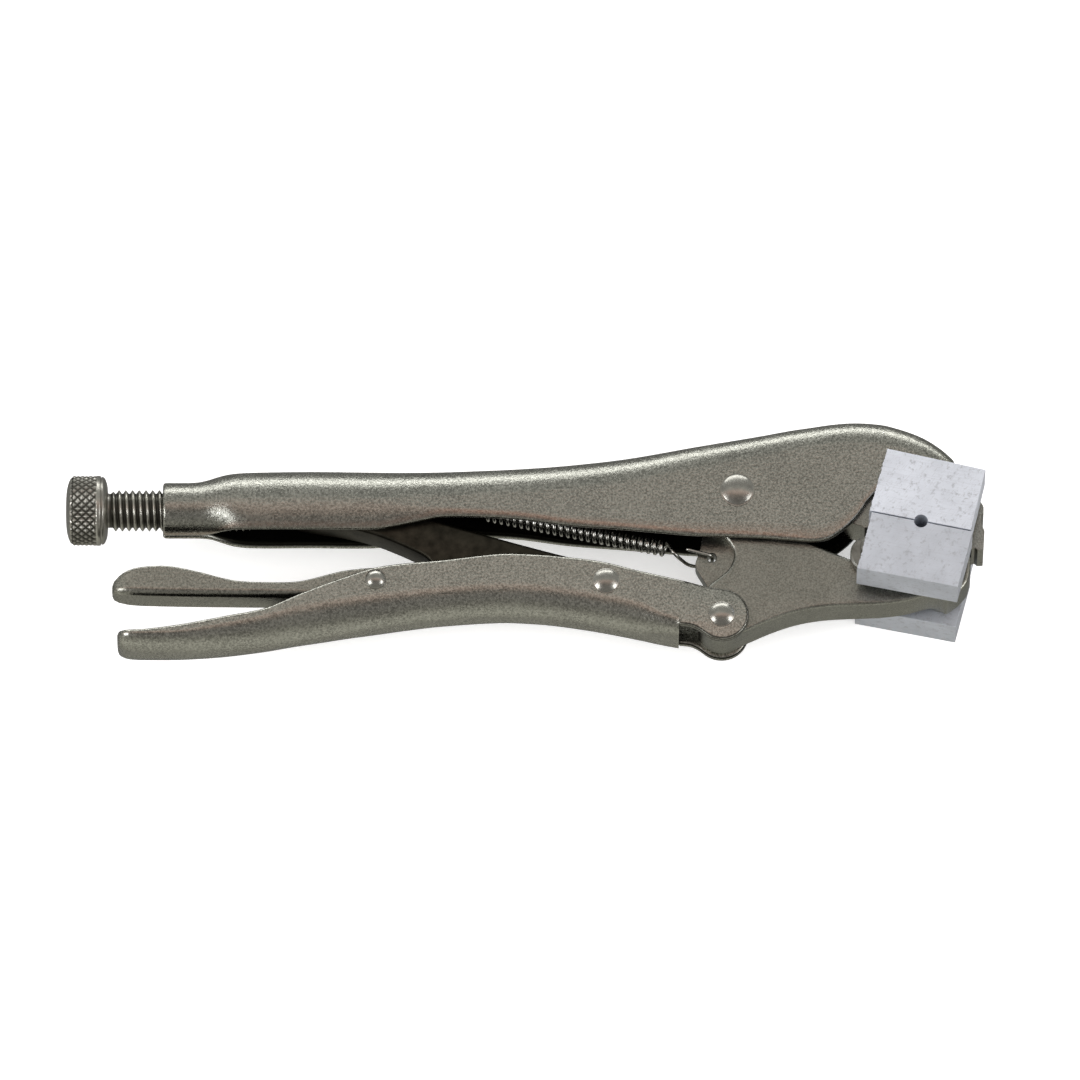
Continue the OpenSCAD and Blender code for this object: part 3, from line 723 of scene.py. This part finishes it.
# The ears lie this far inside the skins of the sheet that they continue
EAR_INSET = 0.004
ear = [*((x, smooth(LOWER, 2, x) - 0.02, 0) for x in (161.0, 163.5, 165.4)),
       (168.2, -23.5), (172.2, -24.7), *arc(LEVER_PIVOT, EAR_R, 78, -128, 30),
       (170.6, -37.0), (168.6, -36.1), (166.9, -35.9, 0.5), (165.3, -35.8, 0.5),
       (164.9, -34.2, 0.4), (164.5, -32.7, 0.4), (161.0, -31.4, 0)]
for side in (1, -1):
    z = sorted((side * (WALL_W - SHEET_T + EAR_INSET), side * (WALL_W - EAR_INSET)))
    lower = combine(lower, plate("ear", [eased(ear)[::-1]], *z, edge_profile(RIM)), "UNION")
settle(lower, LEVER, LEVER_BODY, ["lower_handle"], SHEET_SHARP)

paddle = bent_sheet("release_lever_shell", RELEASE, open_section(RELEASE, PADDLE_T), SECTION_STEP,
                    PADDLE_RIM, flip=-1)
settle(paddle, PADDLE, "release", ["release_lever"], SHEET_SHARP)


# ---- Rivets -------------------------------------------------------------------------------
HEAD_H = 1.5
DOME_STEPS = 14


def rivet(name, at, shaft_r, head_d, body, node):
    """A shaft with two domed heads whose rims are rolled under, outside the handles' walls."""
    head_r = head_d / 2
    dome = (head_r ** 2 + HEAD_H ** 2) / (2 * HEAD_H)
    reach = math.asin(head_r / dome)
    side = [(WALL_W + HEAD_H - dome * (1 - math.cos(a)), dome * math.sin(a))
            for a in [reach * (1 - i / DOME_STEPS) for i in range(DOME_STEPS)]]
    side = [(z, r) for z, r in side if r < head_r - 0.12]
    lip = [(WALL_W, head_r - 0.18), (WALL_W + 0.1, head_r - 0.02), (WALL_W + 0.22, head_r - 0.05)]
    top = [(WALL_W, shaft_r)] + lip + side + [(WALL_W + HEAD_H, 0)]
    profile = [(-z, r) for z, r in top[::-1]] + top
    obj = turned(name, profile, 56, "z", (*at, 0))
    return settle(obj, RIVET, body, [node], sharp=50)


rivet("jaw_pivot_head", JAW_PIVOT, 3.2, 9.4, UPPER_BODY, "jaw_pivot_rivet")
rivet("jaw_lever_head", LEVER_PIVOT, 2.5, 7.3, LEVER_BODY, "jaw_lever_rivet")
rivet("link_head", LINK_PIVOT, 2.5, 7.4, LEVER_BODY, "link_rivet")
rivet("release_head", RELEASE_PIVOT, 1.9, 5.8, LEVER_BODY, "release_rivet")


# ---- Jaws -----------------------------------------------------------------------------------
def parting(x, up):
    """A sharp point of an outline, that far above the parting line."""
    return (x, PARTING_LEFT[1] + SLOPE * (x - PARTING_LEFT[0]) + up, 0)


# The gap between the closed blocks, and the hole that they grip, centred in it
PARTING_GAP = 0.3
GRIP = parting(230.5, -PARTING_GAP / 2)[:2]
# Holes for the two smaller pivot rivets
PIN_HOLE_R = 2.55
SPRING_TAB_HALF = 2.4
SPRING_HOLE = (174.4, -14.3)
# The rounded cut between the jaw's body and its spring tab
RECESS = [(179.0, -18.9), (180.4, -15.4), (180.2, -13.0), (178.5, -10.3), (176.5, -8.5)]

# The jaw without its thin spring tab, counter-clockwise from the tab's foot
jaw_outline = [
    (173.4, -23.4, 0.1), (171.2, -30.4, 0.3), *arc(LEVER_PIVOT, 6.3, 168, 300, 18),
    (182.6, -36.9), (185.5, -35.6), (189, -33.9), (196, -31.2), (203, -29.8), (209.5, -29.3),
    (220, -29), (227, -28), (232, -26.4), (234.6, -26.1), (236.3, -27.2, 0.3), (237.7, -28, 0.3),
    (241.3, -25.2, 0.3), (243.3, -22.6, 0.3), (244.1, -19, 0.3), parting(244.2, -1.7),
    parting(243.4, -1), parting(216.6, -1), (214.4, -10.4, 0.3), (213.2, -12.8, 0.4),
    (212.6, -15.4, 0.3), (211.8, -16, 0.2), (207, -14), (202.2, -11.8, 0.3), (196, -8.8, 0.4),
    (191.2, -4.8, 0.4), *arc(JAW_PIVOT, 8.5, -30, 205, 30),
    (172.9, -7.6, 0.2), *[(x, y, 0.35) for x, y in RECESS[::-1]]]
jaw_loops = [eased(jaw_outline), hole(JAW_PIVOT, 3.25), hole(LEVER_PIVOT, PIN_HOLE_R)]
lower_jaw = plate("lower_jaw_forging", jaw_loops, -JAW_T / 2, JAW_T / 2, edge_profile(0.9))
tab_outline = [(172.2, -6.0), (171.6, -9.6), (171.1, -12.2), (169.6, -16.7, 0.3), (172.9, -22.2, 0.2),
               (173.6, -24.4, 0), (181, -21, 0), (183, -14, 0), (180, -7, 0)]
tab = plate("tab", [eased(tab_outline), hole(SPRING_HOLE, 1.25)], -SPRING_TAB_HALF,
            SPRING_TAB_HALF, edge_profile(0.3, 2))
lower_jaw = combine(lower_jaw, tab, "UNION")
weighted(settle(lower_jaw, JAW, JAW_BODY, ["lower_jaw"]))

# The fixed jaw, clockwise from its front foot along its teeth above the parting line
TOOTH = 1.6
teeth = []
for i in range(20):
    teeth += [parting(246 - TOOTH * i, 0.4), parting(246 - TOOTH * (i + 0.5), 0.9)]
upper_outline = [
    (247.6, -13.6, 0.1), *teeth, (211, -5.6, 0.2), (206, -3.4, 0.3), (200.5, 1.5, 0.3), (198.5, 8),
    (199.5, 14), (204, 16.6), (209, 17.6), (218, 17.2), (226, 14.8), (232, 12), (237.6, 8.6),
    (240.2, 7.4), (243.6, 4), (246.4, 1.2, 0.3), (247.7, -1, 0.2), (247.7, -3, 0.1),
    (247.1, -3.6, 0.1), (247.1, -6, 0.1), (247.9, -8, 0.1)]
# Its half thickness fills the handle's channel
FIXED_HALF = WALL_W - SHEET_T - 0.02
upper_jaw = plate("upper_jaw_forging", [eased(upper_outline)[::-1]], -FIXED_HALF, FIXED_HALF,
                  edge_profile(0.25, 2))
weighted(settle(upper_jaw, JAW, UPPER_BODY, ["upper_jaw"]))


# ---- Jaw blocks -------------------------------------------------------------------------------
GRIP_R = 1.8
# Angle between the parting line and a block's edge, seen from the bore's centre
BITE = math.degrees(math.asin(PARTING_GAP / 2 * math.cos(TURN) / GRIP_R))
# Spacing of a sawn edge's points, and how deep the saw marks are
SAW_STEP = 0.42
SAW_DEPTH = 0.2
# A block's edges are broken by two small facets
BROKEN_EDGE = [(0.22, 0), (0.06, 0.07), (0, 0.22)]


def grip_arc(start, end):
    """The half bore in a block's edge, in degrees from the parting line."""
    turn = math.degrees(TURN)
    return arc(GRIP, GRIP_R, start + turn, end + turn, 18)


def sawn(start, end, seed):
    """The points of a ragged sawn line between two corners."""
    rng = np.random.default_rng(seed)
    a, b = (np.array(corner[:2], float) for corner in (start, end))
    count = int(np.linalg.norm(b - a) / SAW_STEP)
    along = (b - a) / np.linalg.norm(b - a)
    inward = np.array([-along[1], along[0]])
    rough = rng.normal(0, 1, count + 1)
    rough = 0.6 * rough + 0.8 * np.convolve(rough, np.ones(5) / 5, "same")
    return [(*(a + (b - a) * i / count + inward * SAW_DEPTH * abs(rough[i])), 0)
            for i in range(1, count)]


def block_pair(name, corners, bore_after, bore, seed, material, body, nodes):
    """The near and far block of one jaw. The bore's arc follows the corner bore_after, and the
    edge from the last corner to the first one is sawn."""
    for side, node in zip((1, -1), nodes):
        loop = [*corners[:bore_after + 1], *bore, *corners[bore_after + 1:],
                *sawn(corners[-1], corners[0], seed + side)]
        z = sorted((side * BLOCK_IN, side * BLOCK_OUT))
        obj = plate(name + ("_near" if side > 0 else "_far"), [loop], *z, BROKEN_EDGE)
        weighted(settle(obj, material, body, [node], sharp=30))


block_pair("upper_jaw_block", [PARTING_LEFT, parting(243.9, 0), (248, 3.7), (221.4, 9.8)],
           0, grip_arc(180 - BITE, BITE), 11, BLOCK, UPPER_BODY,
           ["upper_block_near", "upper_block_far"])
block_pair("lower_jaw_block", [(213.2, -24.5), (240.3, -29.9), parting(244.4, -PARTING_GAP),
                               parting(217.2, -PARTING_GAP)],
           2, grip_arc(-BITE, BITE - 180), 23, LOWER_BLOCK_SHADED, JAW_BODY,
           ["lower_block_near", "lower_block_far"])


# ---- Spacers and dowels -----------------------------------------------------------------------
def post(name, at, r, z0, z1, chamfer):
    """A round post along z with chamfered ends."""
    profile = [(z0, 0), (z0, r - chamfer), (z0 + chamfer, r), (z1 - chamfer, r),
               (z1, r - chamfer), (z1, 0)]
    return turned(name, profile, 48, "z", (*at, 0))


def posts(name, spots, r, spans, chamfer, body, node):
    """One piece of several turned posts."""
    objs = [post(name, at, r, z0, z1, chamfer) for at in spots for z0, z1 in spans]
    bm = bmesh.new()
    for o in objs:
        bm.from_mesh(o.data)
    mesh = objs[0].data
    bm.to_mesh(mesh)
    bm.free()
    for o in objs[1:]:
        bpy.data.objects.remove(o)
    objs[0].name = name
    return settle(objs[0], SPACER, body, [node])


UPPER_DOWELS = [(225, -3), (240, -6)]
LOWER_DOWELS = [(216.8, -15.7), (236.6, -20.6)]
DOWEL_R = 2.5
DOWEL_DEPTH = 7
REACH = BLOCK_IN + DOWEL_DEPTH
for name, spots, r, inner, body, nodes in (
        ("upper", UPPER_DOWELS, 4.6, WALL_W - SHEET_T, UPPER_BODY, ("upper_spacers", "upper_dowels")),
        ("lower", LOWER_DOWELS, 5.2, JAW_T / 2, JAW_BODY, ("lower_spacers", "lower_dowels"))):
    posts(name + "_spacer_rings", spots, r, [(inner, BLOCK_IN), (-BLOCK_IN, -inner)], 0.5,
          body, nodes[0])
    posts(name + "_dowel_pins", spots, DOWEL_R, [(-REACH, REACH)], 0.4, body, nodes[1])

# ---- Toggle link --------------------------------------------------------------------------------
LOWER_EDGE = [(76, -6.6), (83.4, -8.5), (89.6, -11.1), (93.4, -12.9), (96.1, -14.2),
              (97.7, -15.5), (98.8, -16.8), (99.8, -18.6), (101.5, -20.6), (108, -22.8),
              (120, -24.4), (134, -26.6), (140, -28.2)]
UPPER_EDGE = [(138, -15.6), (120, -10.6), (100, -4.6), (86, 0.4), (74, 3.8)]
link_outline = [*arc(LINK_END, 4.6, 82, 262, 20), *LOWER_EDGE, *arc(LINK_PIVOT, 6.2, 255, 430, 20),
                *UPPER_EDGE]
link = plate("toggle_link_strap", [eased(link_outline), hole(LINK_PIVOT, PIN_HOLE_R)], -LINK_W,
             LINK_W, edge_profile(1.1))
# The hollow between the link's two walls, open at its upper edge
POCKET = [(70, 8), (70, -1.4), (84, -4.8), (98, -11.5), (104, -17.6), (112, -21), (134, -24.2),
          (156, -29), (160, -10), (120, -2)]
LINK_WALL = 2
POCKET_HALF = LINK_W - LINK_WALL
pocket = plate("pocket", [eased(POCKET, 0.25)], -POCKET_HALF, POCKET_HALF, edge_profile(0.6, 2))
link = combine(link, pocket, "DIFFERENCE")
settle(link, LINK_SHADE_STEEL, "link", ["toggle_link"])

# ---- Adjusting screw -----------------------------------------------------------------------------
KNOB_R = 9.5
THREAD_R = 5.55
ROOT_R = 4.62
PITCH = 1.814
# The thread's root starts inside the knob, its crests rise later, and both end at its rear
THREAD_FROM = 11.5
CREST_FROM = 12.0
THREAD_TO = 50.5
# Where along the screw a crest is on top
CREST_AT = 12.4
# The knurled band, the depth and number of its grooves, and their lean
KNURL = (0.8, 8.6)
KNURL_DEPTH = 0.5
GROOVES = 27
LEAN = math.tan(math.radians(45))
# The knob's rounded edge in front, along its axis
KNOB_ROUND = 2.3


def fade(x, lo, hi, over):
    """1 inside lo to hi and 0 outside, easing over a length."""
    u = min(max(min(x - lo, hi - x) / over, 0.0), 1.0)
    return u * u * (3 - 2 * u)


def wave(a):
    """Triangle wave, 1 at whole numbers and 0 half way."""
    return abs(1 - 2 * (a % 1.0))


def knurled(x, angle, r):
    """Diamond knurl of two crossing sets of V grooves."""
    turn = GROOVES * angle / (2 * math.pi)
    lean = GROOVES * LEAN * x / (2 * math.pi * KNOB_R)
    deep = max(wave(turn + lean), wave(turn - lean))
    return r - KNURL_DEPTH * deep * fade(x, *KNURL, 0.8)


def threaded(x, angle, r):
    """Helical thread with narrow crests, raised from its root's radius."""
    u = wave((x - CREST_AT) / PITCH - angle / (2 * math.pi))
    high = min(max((u - 0.18) / 0.7, 0.0), 1.0)
    return r + (THREAD_R - ROOT_R) * high * fade(x, CREST_FROM, THREAD_TO, 1.2)


# From the dimple in the knob's face over its rounded edge and knurl to the neck behind it
knob_profile = [(0.3, 0), (0.3, 2.0), (0.15, 2.4)]
knob_profile += [(KNOB_ROUND * (1 - math.cos(a)), 2.8 + (KNOB_R - 2.8) * math.sin(a))
                 for a in [math.pi / 2 * i / 26 for i in range(27)]]
knob_profile += [(KNOB_ROUND + 6.2 * i / 62, KNOB_R) for i in range(1, 63)]
knob_profile += [(8.6, 9.45), (9.25, 9.45), (9.4, 9.3), (9.45, 9.0), (9.65, 9.0), (9.7, 9.2)]
knob_profile += [(9.75 + 1.55 * math.sin(a), 5.1 + 4.1 * math.cos(a))
                 for a in [math.pi / 2 * i / 12 for i in range(13)]]
knob_profile += [(11.35, ROOT_R + 0.05), (11.9, ROOT_R), (12.1, 0)]
knob = turned("knob", knob_profile, 432, shape=knurled)
rows = int((THREAD_TO - THREAD_FROM) / (PITCH / 16))
thread_profile = [(THREAD_FROM, 0)]
thread_profile += [(THREAD_FROM + (THREAD_TO - THREAD_FROM) * i / rows, ROOT_R)
                   for i in range(rows + 1)]
thread_profile += [(THREAD_TO, 0)]
thread = turned("thread", thread_profile, 72, shape=threaded)
screw = combine(knob, thread, "UNION")
screw.name = "adjusting_screw_body"


# How light the knob's plain face and the neck behind it are, on the scale from the grooves' painted
# shade to the crests
FACE_SHINE = 0.75
NECK_SHINE = 0.6


def crest_of(x, y, z):
    """How close a point of the screw is to the knurl's or the thread's crests, 0 to 1."""
    r = math.hypot(y, z)
    if x > THREAD_FROM - 0.1:
        return min(max((r - ROOT_R - 0.1) / (THREAD_R - ROOT_R - 0.25), 0.0), 1.0)
    if r > 8.8 and KNURL[0] < x < KNURL[1]:
        return min(max((r - KNOB_R + 0.42) / 0.4, 0.0), 1.0)
    return FACE_SHINE if x < 9.3 else NECK_SHINE


mark(screw, "crest", [crest_of(*v.co) for v in screw.data.vertices])
settle(screw, KNOB, "screw", ["adjusting_screw"], sharp=60)

TIP = 56.6
tip_profile = [(TIP - 6, 0), (TIP - 6, 4.2), (TIP - 5.8, 4.4), (TIP - 1.6, 4.4),
               (TIP - 1.2, 4.25), (TIP - 0.15, 3.15), (TIP, 2.9), (TIP, 0)]
tip = turned("adjusting_screw_tip", tip_profile, 48)
settle(tip, SPRING, "screw_end", ["screw_point"])

# ---- Tension spring --------------------------------------------------------------------------------
COIL_START = np.array([113.5, -0.5, 0])
COIL_END = np.array([162, -10.8, 0])
TURNS = 27
COIL_R = 2.0
WIRE_R = 0.5
along = (COIL_END - COIL_START) / np.linalg.norm(COIL_END - COIL_START)
across = np.array([-along[1], along[0], 0])
PER_TURN = 24
coil = [COIL_START + (COIL_END - COIL_START) * i / (TURNS * PER_TURN)
        + COIL_R * (math.cos(2 * math.pi * i / PER_TURN) * across
                    + math.sin(2 * math.pi * i / PER_TURN) * np.array([0, 0, 1]))
        for i in range(TURNS * PER_TURN + 1)]
front = [(110.4, 3.6, 2.3), (110.1, 3, 1), (110.1, 2.8, -0.8), (110.6, 2.2, -2), (111.8, 1.5, -2),
         (113, 1.5, -1.4)]
back = [(164.2, -12.6, 1.3), (166.4, -13.9, -1.2), (168.4, -14.6, -3), (171.4, -14.8, -3.7),
        (173.6, -14.5, -3.2), (*SPRING_HOLE, -1.6), (*SPRING_HOLE, 1.6), (173.8, -14, 3.3),
        (171.2, -13.4, 3.8), (167.4, -12.3, 3.7)]
path = through(front + coil[:2])[:-CURVE_STEPS] + coil + through([coil[-1]] + back)[1:]
spring = wire("tension_spring_wire", path, WIRE_R)
settle(spring, SPRING, None, ["tension_spring"], sharp=80)
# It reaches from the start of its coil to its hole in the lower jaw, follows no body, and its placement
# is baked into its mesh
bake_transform(spring)

# ---- Floor, light and camera -------------------------------------------------------------------------
FLOOR = Nodes("floor_paper")
FLOOR.link(FLOOR.mix(FLOOR.noise(FLOOR.place(), 90.0, 3.0), (0.9, 0.9, 0.9), (0.92, 0.92, 0.92)),
           FLOOR.shader.inputs["Base Color"])
FLOOR.shader.inputs["Roughness"].default_value = 0.9
FLOOR.shader.inputs["Emission Color"].default_value = (1.0, 1.0, 1.0, 1.0)
FLOOR.shader.inputs["Emission Strength"].default_value = 0.4
FLOOR_HALF = 6.0
FLOOR_GAP = 0.2 * MM
corners = [(x * FLOOR_HALF, y * FLOOR_HALF, 0) for x, y in ((-1, -1), (1, -1), (1, 1), (-1, 1))]
floor_mesh = bpy.data.meshes.new("floor")
floor_mesh.from_pydata(corners, [], [(0, 1, 2, 3)])
floor = bpy.data.objects.new("floor", floor_mesh)
floor.location.z = cad_lo.z - FLOOR_GAP
floor_mesh.materials.append(FLOOR.material)
bpy.context.scene.collection.objects.link(floor)
# The steel reflects the sky from below as well, and not the paper
floor.visible_glossy = False


def softbox(name, direction, distance, size, watts, colour=(1, 1, 1)):
    """A large rectangular light that faces the object."""
    light = bpy.data.lights.new(name, "AREA")
    light.shape, light.size, light.size_y = "RECTANGLE", *size
    light.energy, light.color = watts, colour
    obj = bpy.data.objects.new(name, light)
    aim = Vector(direction).normalized()
    obj.location = aim * distance
    obj.rotation_mode = "QUATERNION"
    obj.rotation_quaternion = (-aim).to_track_quat("-Z", "Y")
    bpy.context.scene.collection.objects.link(obj)
    return obj


softbox("key_behind", (-0.1, 0.96, 0.275), 1.8, (2.2, 0.45), 10, (1.0, 0.99, 0.97))
softbox("side_left", (-0.85, -0.3, 0.6), 1.6, (0.6, 0.6), 6)
softbox("side_right", (0.88, -0.25, 0.6), 1.6, (0.6, 0.6), 5)
fill = softbox("fill_overhead", (0.0, -0.1, 1.0), 1.8, (2.4, 2.4), 44)
fill.visible_glossy = False

# Tilt of the sky from straight up, in degrees towards the front, and its colour there
SKY = [(-180, (0.24, 0.24, 0.23)), (-140, (0.2, 0.2, 0.19)), (-110, (0.24, 0.24, 0.23)),
       (-92, (0.3, 0.3, 0.28)), (-60, (0.5, 0.5, 0.47)), (-44, (0.36, 0.35, 0.33)),
       (-34, (0.36, 0.36, 0.34)), (-24, (0.47, 0.48, 0.45)), (-17, (0.46, 0.46, 0.43)),
       (-9, (0.82, 0.65, 0.58)), (-2, (0.6, 0.46, 0.4)), (8, (0.22, 0.2, 0.18)),
       (30, (0.24, 0.23, 0.22)), (50, (0.27, 0.26, 0.24)), (62, (0.24, 0.23, 0.21)),
       (78, (0.36, 0.35, 0.31)), (105, (0.55, 0.54, 0.48)), (122, (0.54, 0.53, 0.47)),
       (160, (0.32, 0.31, 0.27)), (180, (0.24, 0.24, 0.23))]


def sky(name, stops):
    """A world whose colour depends only on the tilt about the tool's length."""
    world = bpy.data.worlds.new(name)
    bpy.context.scene.world = world
    world.use_nodes = True
    nodes, link = world.node_tree.nodes, world.node_tree.links.new
    where = nodes.new("ShaderNodeTexCoord")
    parts = nodes.new("ShaderNodeSeparateXYZ")
    link(where.outputs["Generated"], parts.inputs[0])
    to_front = nodes.new("ShaderNodeMath")
    to_front.operation = "MULTIPLY"
    to_front.inputs[1].default_value = -1.0
    link(parts.outputs["Y"], to_front.inputs[0])
    tilt = nodes.new("ShaderNodeMath")
    tilt.operation = "ARCTAN2"
    link(to_front.outputs[0], tilt.inputs[0])
    link(parts.outputs["Z"], tilt.inputs[1])
    share = nodes.new("ShaderNodeMapRange")
    share.inputs["From Min"].default_value = -math.pi
    share.inputs["From Max"].default_value = math.pi
    link(tilt.outputs[0], share.inputs["Value"])
    ramp = nodes.new("ShaderNodeValToRGB")
    link(share.outputs["Result"], ramp.inputs["Fac"])
    while len(ramp.color_ramp.elements) < len(stops):
        ramp.color_ramp.elements.new(0.5)
    for stop, (angle, colour) in zip(ramp.color_ramp.elements, stops):
        stop.position = (angle + 180) / 360
        stop.color = (*colour, 1)
    link(ramp.outputs["Color"], nodes["Background"].inputs["Color"])
    nodes["Background"].inputs["Strength"].default_value = 1.0


sky("studio", SKY)

# The camera looks down on the tool from its open side
VIEW_W = 291.6 * MM
DISTANCE = 6.0
SENSOR = 36
ELEVATION = math.radians(70)
AIM = (128.0, -8.4, 0.0)
target = Vector(placed(AIM))
camera_data = bpy.data.cameras.new("camera")
camera_data.sensor_width = SENSOR
camera_data.lens = SENSOR * DISTANCE / VIEW_W
camera = bpy.data.objects.new("camera", camera_data)
camera.location = target + DISTANCE * Vector((0, -math.cos(ELEVATION), math.sin(ELEVATION)))
camera.rotation_euler = (math.pi / 2 - ELEVATION, 0, 0)
camera_data.clip_start, camera_data.clip_end = 0.01, 50
bpy.context.scene.collection.objects.link(camera)
bpy.context.scene.camera = camera
bpy.context.scene.view_settings.view_transform = "Standard"
